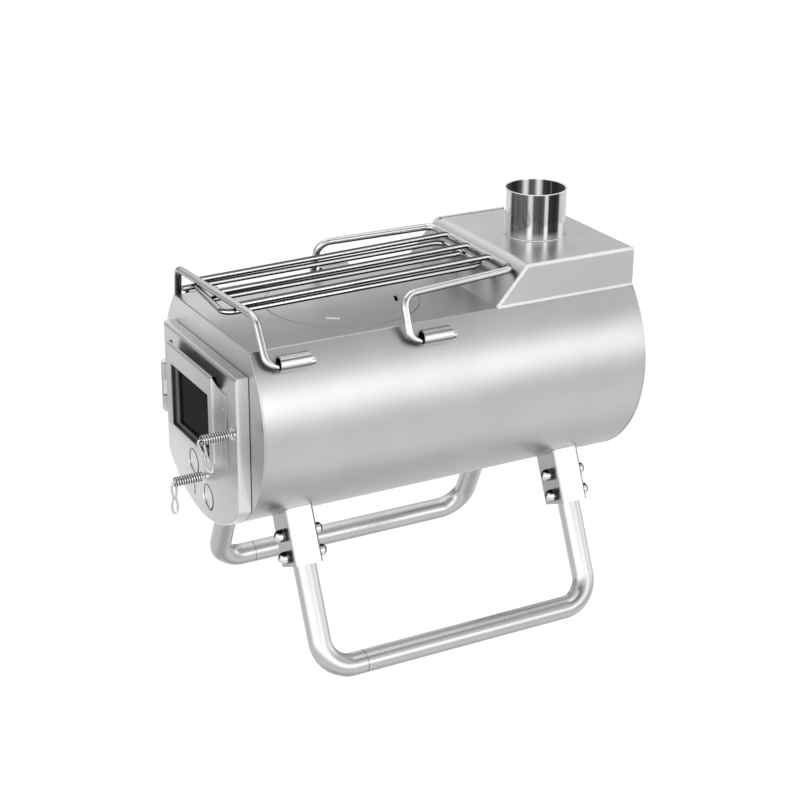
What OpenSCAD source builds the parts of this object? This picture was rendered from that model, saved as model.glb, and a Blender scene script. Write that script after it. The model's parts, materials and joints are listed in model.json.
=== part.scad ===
// Tent wood stove: a rolled round firebox with a flat cooking top, on two bent tube legs.
// Lengths are millimetres, angles are degrees. The door faces -Y and +Z is up.
// The pieces are drawn from the centre of the front plate, and in_place() stands them on the floor.

/* [Firebox] */
// Outer radius of the rolled body
body_r = 115; // [105:1:125]
// Length from the front plate to the rear plate
body_len = 404; // [380:1:440]
// Height of the flat cooking top above the body axis
top_h = 76.5; // [72:0.5:80]
// Height of the body axis above the floor
axis_h = 245; // [235:1:270]
// Sheet thickness of the body, the smoke box and the door
sheet_t = 1.5; // [1.2:0.1:1.8]
// Thickness of the two end plates
plate_t = 1.5; // [1.2:0.1:2]
// Depth of the rim that each end plate turns into the body
rim_depth = 9; // [6:1:12]

/* [Lid] */
// Radius of the round lid in the cooking top
lid_r = 72.5; // [68:0.5:73]
// Distance from the front plate to the middle of the lid
lid_y = 134; // [130:1:140]
// Gap all round the lid
lid_gap = 0.5; // [0.3:0.1:0.8]
// Width of the ledge that carries the lid
lid_ledge = 7; // [5:0.5:8]
// Length of each lifting slot
slot_len = 15; // [12:1:18]
// Width of each lifting slot
slot_w = 3.2; // [2.5:0.1:4]

/* [Smoke box] */
// Height of the smoke box above the cooking top
box_h = 36.5; // [30:0.5:45]
// Inner radius of the fold between the slope and the top
box_fold = 12; // [6:1:16]
// Distance from the front plate to the foot of the sloped face
box_y = 252; // [245:1:262]
// Length that the slope takes
box_slope = 32; // [24:1:40]
// Outer radius of the chimney collar
collar_r = 30; // [28:0.5:32]
// Height of the chimney collar
collar_h = 46; // [40:1:60]
// Distance from the front plate to the middle of the collar
collar_y = 345; // [340:1:350]

/* [Door] */
// Half width of the door
door_half = 85; // [83:0.5:88]
// Height of the top of the door above the body axis
door_top = 53; // [51:0.5:55]
// Depth of the door pan
door_depth = 12; // [11:0.5:14]
// Radius of the two lower corners of the door
door_corner = 12; // [6:1:16]
// Half width of the firing opening behind the door
opening_half = 81; // [80:0.5:81.5]
// Air gap between the door pan and the front plate
door_gap = 0.5; // [0.3:0.1:0.8]

/* [Window] */
// Half width of the window frame
frame_half = 52; // [50:0.5:54]
// Height of the top of the window frame above the body axis
frame_top = 45.5; // [43:0.5:47]
// Depth of the bottom of the window frame below the body axis
frame_low = 39; // [38.5:0.5:40]
// How far the window frame stands off the door
frame_depth = 10; // [9:0.5:11]
// Thickness of the glass
glass_t = 4; // [3.5:0.1:4.5]

/* [Handles and damper] */
// Wire of the two handles
handle_wire = 2.6; // [2.2:0.1:2.8]
// Outer diameter of the coiled grips
grip_d = 9.5; // [9:0.1:11]
// Wire of the coiled grips
grip_wire = 1.6; // [1.2:0.1:1.8]
// Rise of each curl of a grip
grip_pitch = 2.35; // [2.3:0.05:3]
// Curls of each grip
grip_curls = 12; // [8:1:14]
// Length of the hanging loop of each handle
loop_len = 33; // [28:1:36]
// Radius of the two air holes
air_r = 13; // [11.5:0.5:13]

/* [Rack] */
// Wire of the two arches of the rack
arch_wire = 7; // [5.5:0.1:7.4]
// Wire of the bars and the ring of the rack
bar_wire = 5.5; // [4.5:0.1:6]
// Outer diameter of the four rack sockets
socket_d = 15; // [14:0.5:18]
// Wall of the rack sockets
socket_t = 1.6; // [1:0.1:1.8]
// Length of the rack sockets
socket_len = 29; // [24:1:34]

/* [Legs] */
// Outer diameter of the leg tube
leg_d = 22; // [20:0.5:23]
// Wall of the leg tube
leg_t = 1.5; // [1:0.1:2]
// Angle that the legs splay out from the vertical
leg_splay = 24.7; // [20:0.1:28]
// Radius of the bends, on the middle of the tube
leg_bend = 28; // [24:1:34]
// Distance from the front plate to the front arms
leg_y1 = 51.5; // [46:0.5:60]
// Distance from the front plate to the rear arms
leg_y2 = 342; // [330:1:352]
// Outer width of a leg bracket
bracket_w = 28; // [27:0.5:30]
// Sheet of the leg brackets
bracket_t = 2; // [1.6:0.1:2.2]

/* [Hidden] */
$fn = 72;
// Cuts run past the faces that they open by this much
over = 4;
// Gap between pieces that are welded or lie on each other along a curve
weld_gap = 0.1;
// Gap that lets one piece slide or turn past another
slip_gap = 0.35;
// Gap under a prong that lies in its socket
prong_rest = 0.3;
// Gap of a pin in its hole
pin_gap = 0.05;

// Half width of the flat top, where it meets the round flank
top_half = sqrt(body_r * body_r - top_h * top_h);
inner_r = body_r - sheet_t;
inner_top = top_h - sheet_t;

// Holes in the cooking top
smoke_margin_y = 10;
smoke_margin_x = 16;
slot_r = 51;
slot_angles = [-36, 69];
lid_lip_t = 1.5;
lid_lip_h = 5;

// Firing opening
opening_top_step = 7;
opening_step = 11;
opening_top = door_top - opening_top_step;
opening_r = body_r - opening_step;

// Window
frame_t = 1.2;
window_side = 8;
window_top = 19.5;
window_low = 4;
flange_w = 12;
retainer_t = 2.5;
retainer_side = 8;
retainer_low = 3.5;
retainer_top = 4;
glass_side = 2;
door_window_margin = 2;
spot_d = 3;
spot_h = 0.6;

// Hinge of the door, seen from above
hinge_r = 5;
hinge_pin_r = 2;
hinge_stand = 7.8;
hinge_x = -(door_half + hinge_stand);
hinge_y = -(hinge_r + 3);
hinge_low = -40;
hinge_len = 48;
leaf_t = 1.2;
leaf_gap = 0.4;
leaf_reach = 14.5;
hinge_head_h = 1.5;

// Latch
latch_x = 76;
latch_z = -1.7;
latch_angle = 50;
spindle_r = 2.8;
cam_t = 3;
cam_len = 15;
cam_half = 3;
cam_hub = 3.8;
nut_r = 5;
nut_h = 1.2;
bush_t = 0.8;

// Damper
damper_x = 8.9;
damper_rise = 45.5;
damper_z = damper_rise - body_r;
damper_r = 42.7;
damper_t = 1.2;
damper_flat = 35;
// The two air holes, from the damper spindle
air_holes = [[-29.2, 3], [4, -20.4]];
damper_hole_r = air_r - 1.5;
// The narrow slot beside the air holes
vent_x = -19.5;
vent_rise = 21;
vent_z = vent_rise - body_r;
vent_w = 2.4;
vent_len = 13;
spindle_over = 1;

// Coiled grips
grip_r = (grip_d - grip_wire) / 2;
grip_sides = 6;
grip_steps = 8;
grip_len = grip_curls * grip_pitch + 2 * grip_wire;
grip_start = door_depth + bush_t + nut_h;
grip_end = grip_start + grip_len;
loop_gap = 4.6;
reach = grip_end + handle_wire;
swept_sides = 20;
swept_steps = 7;

// Rack
socket_angle = 33.5;
socket_seat = body_r + socket_d / 2 + weld_gap;
socket_x = socket_seat * cos(socket_angle);
socket_z = socket_seat * sin(socket_angle);
socket_y1 = 21;
socket_y2 = 163;
prong_over = 5.5;
// The prongs lie on the bottom of the sockets
prong_z = socket_z - (socket_d / 2 - socket_t - arch_wire / 2 - prong_rest);
// The front arch is bent a little out of square: its right corner stands further back than its left one
arch_foot_y = 10.5;
arch_right_y = 11;
arch_left_y = 2;
arch_half = 77.2;
arch_stand = 28.5;
arch_z = top_h + arch_stand;
arch_bend = 9;
arch_foot_bend = 11;
rear_foot_y = 152;
rear_foot_half = 86.5;
rear_foot_stand = 28.8;
rear_foot_z = top_h + rear_foot_stand;
rear_y = 273.5;
rear_half = 76;
rear_stand = 32.1;
rear_z = top_h + rear_stand;
bar_half = 40;
bar_stand1 = 27.7;
bar_stand2 = 34.4;
bar_z1 = top_h + bar_stand1;
bar_z2 = top_h + bar_stand2;
// The lower ring: one wire whose first end stands out at the left and whose last end is welded to its own side
ring_end = -9;
ring_front = -2.5;
ring_tie = 3.5;
ring_tie_gap = 0.6;
ring_rear = 263;
ring_drop = bar_wire + weld_gap;
ring_sag = 1.4;
ring_bend = 10;

// Legs
leg_r = leg_d / 2;
leg_bore = leg_r - leg_t;
// The upper bolts stand this far out of the round body, at this angle below its middle
bolt_stand = 20.4;
bolt_angle = 57.91;
bolt_x = (body_r + bolt_stand) * cos(bolt_angle);
bolt_z = -(body_r + bolt_stand) * sin(bolt_angle);
run_z = leg_r - axis_h;
leg_len = (bolt_z - run_z) / cos(leg_splay);
bolt_pitch = 20.6;
bolt_r = 3;
bolt_head_r = 6;
bolt_head_h = 4;
bolt_nut_r = 6.4;
bolt_nut_h = 4.5;
bolt_dome_r = 4.6;
bolt_dome_h = 2.2;
arm_over = 12;
bracket_low = 30;
bracket_high = 27;
bracket_in = 20;
bracket_out = leg_r + 1 + bracket_t;
leg_seam_y = 92;
spigot_len = 12;
seam_gap = 0.8;

// Inside
rail_z = -70;
rail_t = 1.5;
rail_w = 14;
rail_y1 = 14;
rail_len = 280;
grate_t = 2.5;
grate_gap = 3;
grate_bar = 9;
grate_slot = 6;
grate_slot_len = 100;
grate_edge = 15;
baffle_z = 44;
baffle_t = 2;
baffle_y1 = 238;
baffle_y2 = 372;

front_y = (reach - body_len) / 2;

satin = "#b4b6b8";
bright = "#d8dadc";
chrome = "#e4e6e8";
dark = "#5c5f62";

// Stands a piece on the floor, in the middle of the whole object
module in_place() translate([0, front_y, axis_h]) children();

// Draws an outline in X and Z and gives it a length along Y
module along_y(y, len) translate([0, y + len, 0]) rotate([90, 0, 0]) linear_extrude(len) children();

// Draws an outline in Y and Z and gives it a length along X
module along_x(x, len) translate([x, 0, 0]) rotate([90, 0, 90]) linear_extrude(len) children();

// A round bar along Y
module rod_y(x, z, y, len, r) translate([x, y, z]) rotate([-90, 0, 0]) cylinder(h = len, r = r);

// The round outline of the body, with its flat top
module body_outline(r, h) intersection() {
    circle(r);
    translate([-r, -r]) square([2 * r, r + h]);
}

// A rectangle between two corners
module plate(x1, z1, x2, z2) translate([x1, z1]) square([x2 - x1, z2 - z1]);

// Middle of the round that joins a straight side of the door to its round bottom
corner_x = door_half - door_corner;
corner_z = -sqrt((body_r - door_corner) * (body_r - door_corner) - corner_x * corner_x);
corner_turn = atan2(corner_x, -corner_z);

// Points of an arc round a middle, with its angles counted from straight down towards +X
function arc(x, z, r, first, last, steps) = [for (k = [0 : steps]) let (a = first + (last - first) * k / steps)
    [x + r * sin(a), z - r * cos(a)]];

// The door outline, grown by g: straight sides and top over the round bottom of the body
module door_outline(g = 0) {
    step = corner_turn / 20;
    polygon(concat([[-door_half - g, door_top + g]],
        arc(-corner_x, corner_z, door_corner + g, -90, -corner_turn, 8),
        arc(0, 0, body_r + g, step - corner_turn, corner_turn - step, 38),
        arc(corner_x, corner_z, door_corner + g, corner_turn, 90, 8),
        [[door_half + g, door_top + g]]));
}

// Unit vector
function unit(v) = v / norm(v);

// Places a frame whose Z axis follows one vector and whose X axis follows another
module turn_to(at, x_axis, z_axis) {
    y_axis = cross(z_axis, x_axis);
    multmatrix([[x_axis.x, y_axis.x, z_axis.x, at.x], [x_axis.y, y_axis.y, z_axis.y, at.y],
        [x_axis.z, y_axis.z, z_axis.z, at.z], [0, 0, 0, 1]]) children();
}

// A straight piece of wire or tube between two points
module straight(p, q, r, bore) {
    along = unit(q - p);
    side = unit(abs(along.z) < 0.9 ? cross(along, [0, 0, 1]) : cross(along, [1, 0, 0]));
    turn_to(p, side, along) difference() {
        cylinder(h = norm(q - p), r = r);
        if (bore > 0) translate([0, 0, -over]) cylinder(h = norm(q - p) + 2 * over, r = bore);
    }
}

// One bend of wire or tube, at corner b between a and c
module bend(a, b, c, r, bend_r, bore) {
    before = unit(b - a);
    after = unit(c - b);
    angle = acos(before * after);
    axis = unit(cross(before, after));
    inward = cross(axis, before);
    start = b - before * bend_r * tan(angle / 2);
    turn_to(start + inward * bend_r, -inward, axis) rotate_extrude(angle = angle)
        translate([bend_r, 0]) difference() {
            circle(r);
            if (bore > 0) circle(bore);
        }
}

// How far a bend eats into the straights beside it
function bend_cut(a, b, c, bend_r) = bend_r * tan(acos(unit(b - a) * unit(c - b)) / 2);

// Wire or tube through a list of corners, each rounded to its own radius
module bent(points, radii, r, bore = 0) {
    last = len(points) - 1;
    cuts = [for (i = [0 : last]) i == 0 || i == last ? 0
        : bend_cut(points[i - 1], points[i], points[i + 1], radii[i - 1])];
    for (i = [0 : last - 1]) {
        along = unit(points[i + 1] - points[i]);
        straight(points[i] + along * cuts[i], points[i + 1] - along * cuts[i + 1], r, bore);
    }
    for (i = [1 : last - 1]) bend(points[i - 1], points[i], points[i + 1], r, radii[i - 1], bore);
}

// The way a swept wire runs at ring i, between its neighbours
function swept_way(route, i) = i == 0 ? unit(route[1] - route[0])
    : i == len(route) - 1 ? unit(route[i] - route[i - 1])
    : unit(unit(route[i + 1] - route[i]) + unit(route[i] - route[i - 1]));

// Corners rounded to arcs: the middles of the rings of a swept wire
function swept_route(points, radii) = let (last = len(points) - 1) [for (i = [0 : last])
    if (i == 0 || i == last) points[i]
    else let (before = unit(points[i] - points[i - 1]), after = unit(points[i + 1] - points[i]),
        angle = acos(before * after), axis = unit(cross(before, after)), inward = cross(axis, before),
        start = points[i] - before * radii[i - 1] * tan(angle / 2))
        each [for (k = [0 : swept_steps]) start + radii[i - 1] * (before * sin(angle * k / swept_steps)
            + inward * (1 - cos(angle * k / swept_steps)))]];

// Solid wire through a list of corners, drawn as one unbroken tube of flat sides
module swept(points, radii, r) {
    route = swept_route(points, radii);
    n = len(route);
    way = [for (i = [0 : n - 1]) swept_way(route, i)];
    side = unit(cross(way[0], [0.3, 0.2, 1]));
    sides = [for (i = 0, s = side; i < n; i = i + 1, s = i < n ? unit(s - way[i] * (way[i] * s)) : s) s];
    ring = [for (i = [0 : n - 1]) let (u = sides[i], v = cross(way[i], u)) each
        [for (k = [0 : swept_sides - 1]) route[i] + r * (u * cos(360 * k / swept_sides)
            + v * sin(360 * k / swept_sides))]];
    skin = [for (i = [0 : n - 2], k = [0 : swept_sides - 1]) let (a = i * swept_sides + k,
        b = i * swept_sides + (k + 1) % swept_sides)
        each [[a, a + swept_sides, b], [b, a + swept_sides, b + swept_sides]]];
    first = [for (k = [1 : swept_sides - 2]) [0, k, k + 1]];
    end = (n - 1) * swept_sides;
    final = [for (k = [1 : swept_sides - 2]) [end, end + k + 1, end + k]];
    polyhedron(ring, concat(skin, first, final));
}

// Firebox
module body_shell() color(satin) in_place() difference() {
    along_y(plate_t, body_len - 2 * plate_t) body_outline(body_r, top_h);
    along_y(-over, body_len + 2 * over) body_outline(inner_r, inner_top);
    translate([0, lid_y, inner_top - over]) cylinder(h = sheet_t + 2 * over, r = lid_r + lid_gap);
    translate([-top_half + smoke_margin_x, box_y + smoke_margin_y, inner_top - over])
        cube([2 * (top_half - smoke_margin_x), body_len - box_y - 2 * smoke_margin_y, sheet_t + 2 * over]);
}

// The rim that an end plate turns into the body
module plate_rim(y) along_y(y, rim_depth) difference() {
    body_outline(inner_r - weld_gap, inner_top - weld_gap);
    body_outline(inner_r - weld_gap - plate_t, inner_top - weld_gap - plate_t);
}

module front_plate() color(satin) in_place() {
    along_y(0, plate_t) difference() {
        body_outline(body_r, top_h);
        intersection() {
            circle(opening_r);
            plate(-opening_half, -body_r, opening_half, opening_top);
        }
    }
    plate_rim(plate_t);
}

module rear_plate() color(satin) in_place() {
    along_y(body_len - plate_t, plate_t) body_outline(body_r, top_h);
    plate_rim(body_len - plate_t - rim_depth);
}

// Side view of the smoke box, and of its inside
box_lean = box_slope / box_h;
box_in = sheet_t * norm([1, box_lean]);
fold_angle = atan2(box_h, box_slope);
fold_cut = (box_fold + sheet_t) * tan(fold_angle / 2);
fold_y = box_y + box_slope + fold_cut;
fold_z = top_h + box_h - box_fold - sheet_t;
function fold(r) = [for (k = [0 : 6]) [fold_y - r * sin(fold_angle * k / 6), fold_z + r * cos(fold_angle * k / 6)]];
box_outside = concat([[box_y, top_h], [body_len, top_h], [body_len, top_h + box_h]], fold(box_fold + sheet_t));
box_inside = concat([[box_y + box_in - over * box_lean, top_h - over], [body_len - sheet_t, top_h - over],
    [body_len - sheet_t, top_h + box_h - sheet_t]], fold(box_fold));

module smoke_box() color(satin) in_place() difference() {
    along_x(-top_half, 2 * top_half) polygon(box_outside);
    along_x(-top_half + sheet_t, 2 * (top_half - sheet_t)) polygon(box_inside);
    translate([0, collar_y, top_h]) cylinder(h = box_h + over, r = collar_r - sheet_t);
}

module chimney_collar() color(bright) in_place() translate([0, collar_y, top_h + box_h]) difference() {
    cylinder(h = collar_h, r = collar_r);
    translate([0, 0, -over]) cylinder(h = collar_h + 2 * over, r = collar_r - sheet_t);
}

module lid_ledge_ring() color(satin) in_place() difference() {
    intersection() {
        along_y(0, body_len) circle(inner_r - weld_gap);
        translate([0, lid_y, inner_top - sheet_t]) cylinder(h = sheet_t, r = lid_r + lid_ledge);
    }
    translate([0, lid_y, inner_top - sheet_t - over]) cylinder(h = sheet_t + 2 * over, r = lid_r - lid_ledge);
}

module top_lid() color(satin) in_place() translate([0, lid_y, inner_top]) {
    difference() {
        cylinder(h = sheet_t, r = lid_r);
        for (a = slot_angles) rotate([0, 0, a]) translate([slot_r, 0, sheet_t / 2])
            cube([slot_w, slot_len, sheet_t + over], center = true);
    }
    lip_r = lid_r - lid_ledge - lid_gap;
    translate([0, 0, -lid_lip_h]) difference() {
        cylinder(h = lid_lip_h, r = lip_r);
        translate([0, 0, -over]) cylinder(h = lid_lip_h + 2 * over, r = lip_r - lid_lip_t);
    }
}

// A flat strip inside the body, as wide as the body is at that height
module inner_shelf(z, t, y, len) intersection() {
    along_y(y, len) circle(inner_r - weld_gap);
    translate([-body_r, y, z]) cube([2 * body_r, len, t]);
}

module smoke_baffle() color(dark) in_place() inner_shelf(baffle_z, baffle_t, baffle_y1, baffle_y2 - baffle_y1);

rail_half = sqrt(inner_r * inner_r - rail_z * rail_z);

module grate_rails() color(dark) in_place() difference() {
    inner_shelf(rail_z, rail_t, rail_y1, rail_len);
    translate([rail_w - rail_half, rail_y1 - over, rail_z - over])
        cube([2 * (rail_half - rail_w), rail_len + 2 * over, rail_t + 2 * over]);
}

grate_half = rail_half - grate_gap;
grate_z = rail_z + rail_t;
grate_pitch = grate_bar + grate_slot;
grate_rows = floor((grate_half - grate_edge) / grate_pitch);

module fire_grate() color(dark) in_place() difference() {
    translate([-grate_half, rail_y1, grate_z]) cube([2 * grate_half, rail_len, grate_t]);
    for (i = [-grate_rows : grate_rows], y = [rail_y1 + grate_edge, rail_y1 + rail_len / 2 + grate_edge])
        translate([i * grate_pitch - grate_slot / 2, y, grate_z - over])
            cube([grate_slot, grate_slot_len, grate_t + 2 * over]);
}

// Door
module door_pan() color(satin) in_place() difference() {
    along_y(-door_depth - door_gap, door_depth) door_outline();
    along_y(-door_depth - door_gap + sheet_t, door_depth) door_outline(-sheet_t);
    along_y(-door_depth - door_gap - over, sheet_t + 2 * over)
        plate(-frame_half + window_side + retainer_side - door_window_margin,
            -frame_low + window_low + retainer_low - door_window_margin,
            frame_half - window_side - retainer_side + door_window_margin, retainer_open_top);
    for (h = air_holes) rod_y(damper_x + h[0], damper_z + h[1], -door_depth - door_gap - over,
        sheet_t + 2 * over, air_r);
    along_y(-door_depth - door_gap - over, sheet_t + 2 * over)
        plate(vent_x - vent_w / 2, vent_z - vent_len / 2, vent_x + vent_w / 2, vent_z + vent_len / 2);
    for (s = [[latch_x, latch_z], [damper_x, damper_z]])
        rod_y(s[0], s[1], -door_depth - door_gap - over, sheet_t + 2 * over, spindle_r + pin_gap);
}

face_y = -door_depth - door_gap;
frame_face = face_y - frame_depth;
retainer_open_top = frame_top - window_top - retainer_top;
side_top = frame_top - frame_depth - retainer_top;

module window_frame() color(satin) in_place() {
    along_y(frame_face, frame_t) difference() {
        plate(-frame_half, -frame_low, frame_half, frame_top);
        plate(-frame_half + window_side, -frame_low + window_low, frame_half - window_side,
            frame_top - window_top);
    }
    for (side = [0, 1]) mirror([side, 0, 0]) {
        along_x(frame_half - frame_t, frame_t) polygon([[frame_face, -frame_low], [face_y, -frame_low],
            [face_y, side_top], [frame_face + frame_t, frame_top], [frame_face, frame_top]]);
        along_y(face_y - frame_t, frame_t)
            plate(frame_half - frame_t, -frame_low, frame_half + flange_w, side_top);
        for (z = [-frame_low / 2, side_top / 2])
            rod_y(frame_half + flange_w / 2, z, face_y - frame_t - spot_h, frame_t + spot_h, spot_d / 2);
    }
    along_y(frame_face, frame_depth) plate(-frame_half, -frame_low, frame_half, -frame_low + frame_t);
}

glass_half = frame_half - frame_t - glass_side / 2;
glass_low = -frame_low + frame_t + weld_gap;

module window_glass() color("#101214", 0.9) in_place()
    along_y(face_y - glass_t, glass_t) plate(-glass_half, glass_low, glass_half, side_top);

module window_retainer() color(dark) in_place() along_y(face_y - glass_t - retainer_t, retainer_t) difference() {
    plate(-glass_half, glass_low, glass_half, side_top);
    plate(-frame_half + window_side + retainer_side, -frame_low + window_low + retainer_low,
        frame_half - window_side - retainer_side, retainer_open_top);
}

// Hinge: the door leaf has the end knuckles, the body leaf has the middle one
knuckle = hinge_len / 3;

module knuckle_tube(z, len) translate([hinge_x, hinge_y, z]) difference() {
    cylinder(h = len, r = hinge_r);
    translate([0, 0, -over]) cylinder(h = len + 2 * over, r = hinge_pin_r + pin_gap);
}

module door_hinge_leaf() color(satin) in_place() for (k = [0, 2]) {
    z = hinge_low + k * knuckle + (k == 0 ? 0 : leaf_gap);
    difference() {
        union() {
            knuckle_tube(z, knuckle - leaf_gap);
            translate([hinge_x, hinge_y - hinge_r, z]) cube([-door_half - hinge_x, leaf_t, knuckle - leaf_gap]);
        }
        translate([hinge_x, hinge_y, z - over]) cylinder(h = knuckle + 2 * over, r = hinge_pin_r + pin_gap);
    }
    translate([-door_half - leaf_t, hinge_y - hinge_r, z]) cube([leaf_t, 2 * hinge_r, knuckle - leaf_gap]);
}

module body_hinge_leaf() color(satin) in_place() {
    z = hinge_low + knuckle + leaf_gap / 2;
    len = knuckle - leaf_gap / 2 - leaf_gap / 2;
    difference() {
        union() {
            knuckle_tube(z, len);
            translate([hinge_x - hinge_r, hinge_y, z]) cube([leaf_t, -hinge_y, len]);
        }
        translate([hinge_x, hinge_y, z - over]) cylinder(h = len + 2 * over, r = hinge_pin_r + pin_gap);
    }
    translate([hinge_x - leaf_reach, -leaf_t, hinge_low]) cube([leaf_reach - hinge_r + leaf_t, leaf_t, hinge_len]);
}

module hinge_pin() color(bright) in_place() translate([hinge_x, hinge_y, hinge_low - hinge_head_h]) {
    cylinder(h = hinge_len + 2 * hinge_head_h, r = hinge_pin_r);
    translate([0, 0, hinge_len + hinge_head_h + weld_gap]) cylinder(h = hinge_head_h, r = hinge_r);
}

// The spindle, the rod in the grip and the hanging loop of one handle, with its spindle along Y at x = z = 0
module handle(back) {
    rod_y(0, 0, -grip_start, grip_start + back, spindle_r);
    r = handle_wire / 2;
    out = grip_end + r;
    near = out - loop_gap;
    waist = loop_len / 2;
    bent([[0, -grip_start, 0], [0, -out, 0], [0, -out, -loop_len], [0, -near, -loop_len],
        [0, -near, -grip_d / 2 - weld_gap]], [r + weld_gap, loop_gap / 2 - weld_gap, loop_gap / 2 - weld_gap], r);
}

// Ring k of a coiled grip: a point, and the way the tube runs there
function grip_angle(k) = 360 * k / grip_steps;
function grip_point(k) = [grip_r * cos(grip_angle(k)), -grip_wire - grip_pitch * k / grip_steps,
    grip_r * sin(grip_angle(k))];
grip_rings = grip_curls * grip_steps;
grip_route = concat([[grip_r, 0, 0]], [for (k = [0 : grip_rings]) grip_point(k)],
    [[grip_r, -grip_len, 0]]);

// Least gap between the tube's curls, measured on the route's points
grip_least = min([for (i = [0 : len(grip_route) - 1], j = [i + grip_steps / 2 : 1 : len(grip_route) - 1])
    norm(grip_route[i] - grip_route[j])]) - grip_wire;
echo(least_gap_of_a_grip_to_itself = grip_least);

// A tube of six sides along the route, closed at both ends
module grip_tube() {
    n = len(grip_route);
    way = [for (i = [0 : n - 1]) i == 0 || i == n - 1 ? [0, -1, 0]
        : unit(unit(grip_route[i + 1] - grip_route[i]) + unit(grip_route[i] - grip_route[i - 1]))];
    ring = [for (i = [0 : n - 1]) let (out = unit([grip_route[i].x, 0, grip_route[i].z]),
        side = unit(cross(way[i], out)), face = cross(side, way[i]))
        for (s = [0 : grip_sides - 1]) grip_route[i]
            + grip_wire / 2 * (cos(360 * s / grip_sides) * face + sin(360 * s / grip_sides) * side)];
    skin = [for (i = [0 : n - 2], s = [0 : grip_sides - 1]) let (a = i * grip_sides + s,
        b = i * grip_sides + (s + 1) % grip_sides)
        each [[a, a + grip_sides, b], [b, a + grip_sides, b + grip_sides]]];
    ends = [for (s = [1 : grip_sides - 2]) each [[0, s, s + 1],
        [(n - 1) * grip_sides, (n - 1) * grip_sides + s + 1, (n - 1) * grip_sides + s]]];
    polyhedron(ring, concat(skin, ends));
}

// The nut that holds a spindle at the door face
module bush() translate([0, -grip_start, 0]) difference() {
    union() {
        rod_y(0, 0, 0, nut_h, nut_r);
        rod_y(0, 0, nut_h, bush_t - door_gap, nut_r + bush_t);
    }
    rod_y(0, 0, -over, nut_h + bush_t + 2 * over, spindle_r + weld_gap);
}

module at_latch() in_place() translate([latch_x, 0, latch_z]) rotate([0, -latch_angle, 0]) children();
module at_damper() in_place() translate([damper_x, 0, damper_z]) children();

module latch_handle() color(chrome) at_latch() handle(plate_t + 2 * slip_gap + cam_t + spindle_over);
module latch_spring() color(chrome) at_latch() translate([0, -grip_start, 0]) grip_tube();
module latch_bush() color(chrome) at_latch() bush();
module latch_cam() color(satin) in_place() translate([latch_x, plate_t + 2 * slip_gap, latch_z]) difference() {
    union() {
        rod_y(0, 0, 0, cam_t, cam_hub);
        translate([-cam_half, 0, -cam_len]) cube([2 * cam_half, cam_t, cam_len]);
    }
    rod_y(0, 0, -over, cam_t + 2 * over, spindle_r + weld_gap);
}

disc_y = -door_depth - door_gap + sheet_t + slip_gap;
module damper_handle() color(chrome) at_damper() handle(disc_y + damper_t + spindle_over);
module damper_spring() color(chrome) at_damper() translate([0, -grip_start, 0]) grip_tube();
module damper_bush() color(chrome) at_damper() bush();
module damper_disc() color(satin) at_damper() difference() {
    along_y(disc_y, damper_t) intersection() {
        circle(damper_r);
        plate(-damper_r, -damper_r, damper_r, damper_flat);
    }
    for (h = air_holes) rod_y(-h[0], -h[1], disc_y - over, damper_t + 2 * over, damper_hole_r);
    rod_y(0, 0, disc_y - over, damper_t + 2 * over, spindle_r + weld_gap);
}

// Rack sockets on the flanks
module socket(y, side) color(bright) in_place() mirror([side, 0, 0]) difference() {
    rod_y(socket_x, socket_z, y, socket_len, socket_d / 2);
    rod_y(socket_x, socket_z, y - over, socket_len + 2 * over, socket_d / 2 - socket_t);
}
module socket_front_right() socket(socket_y1, 0);
module socket_rear_right() socket(socket_y2, 0);
module socket_front_left() socket(socket_y1, 1);
module socket_rear_left() socket(socket_y2, 1);

module rack_front_arch() color(chrome) in_place() {
    tip = socket_y1 + socket_len + prong_over;
    swept([[socket_x, tip, prong_z], [socket_x, arch_foot_y, prong_z], [arch_half, arch_right_y, arch_z],
        [-arch_half, arch_left_y, arch_z], [-socket_x, arch_foot_y, prong_z], [-socket_x, tip, prong_z]],
        [arch_foot_bend, arch_bend, arch_bend, arch_foot_bend], arch_wire / 2);
}

module rack_rear_arch() color(chrome) in_place() {
    tip = socket_y2 + socket_len + prong_over;
    swept([[socket_x, tip, prong_z], [socket_x, rear_foot_y, prong_z],
        [rear_foot_half, rear_foot_y, rear_foot_z], [rear_half, rear_y, rear_z], [-rear_half, rear_y, rear_z],
        [-rear_foot_half, rear_foot_y, rear_foot_z], [-socket_x, rear_foot_y, prong_z], [-socket_x, tip, prong_z]],
        [arch_foot_bend, arch_foot_bend, arch_bend, arch_bend, arch_foot_bend, arch_foot_bend], arch_wire / 2);
}

// How far the arch and the ring run back for each step to the right
arch_skew = (arch_right_y - arch_left_y) / (2 * arch_half);
ring_skew = (ring_front - ring_tie) / (2 * bar_half);
function bar_front(x) = (arch_right_y + arch_left_y) / 2 + arch_skew * x + (arch_wire + arch_skew * bar_wire) / 2
    + weld_gap;
bar_y1 = bar_front(0);
bar_y2 = rear_y - arch_wire / 2 - weld_gap;
bar_rise = (bar_z2 - bar_z1) / (bar_y2 - bar_y1);
function bar_z(y) = bar_z1 + bar_rise * (y - bar_y1);
function ring_z(y) = bar_z(y) - ring_drop - ring_sag * (y - bar_y1) / (bar_y2 - bar_y1);

module rack_bars() color(chrome) in_place() for (x = [-bar_half, 0, bar_half])
    straight([x, bar_front(x), bar_z(bar_front(x))], [x, bar_y2, bar_z2], bar_wire / 2, 0);

module rack_ring() color(chrome) in_place() {
    z2 = ring_z(ring_rear);
    tie_x = -bar_half + bar_wire / 2 + ring_tie_gap;
    swept([[-bar_half, ring_end, ring_z(ring_end)], [-bar_half, ring_rear, z2], [bar_half, ring_rear, z2],
        [bar_half, ring_front, ring_z(ring_front)], [tie_x, ring_tie, ring_z(ring_tie)]],
        [for (i = [1 : 3]) ring_bend], bar_wire / 2);
}

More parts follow.
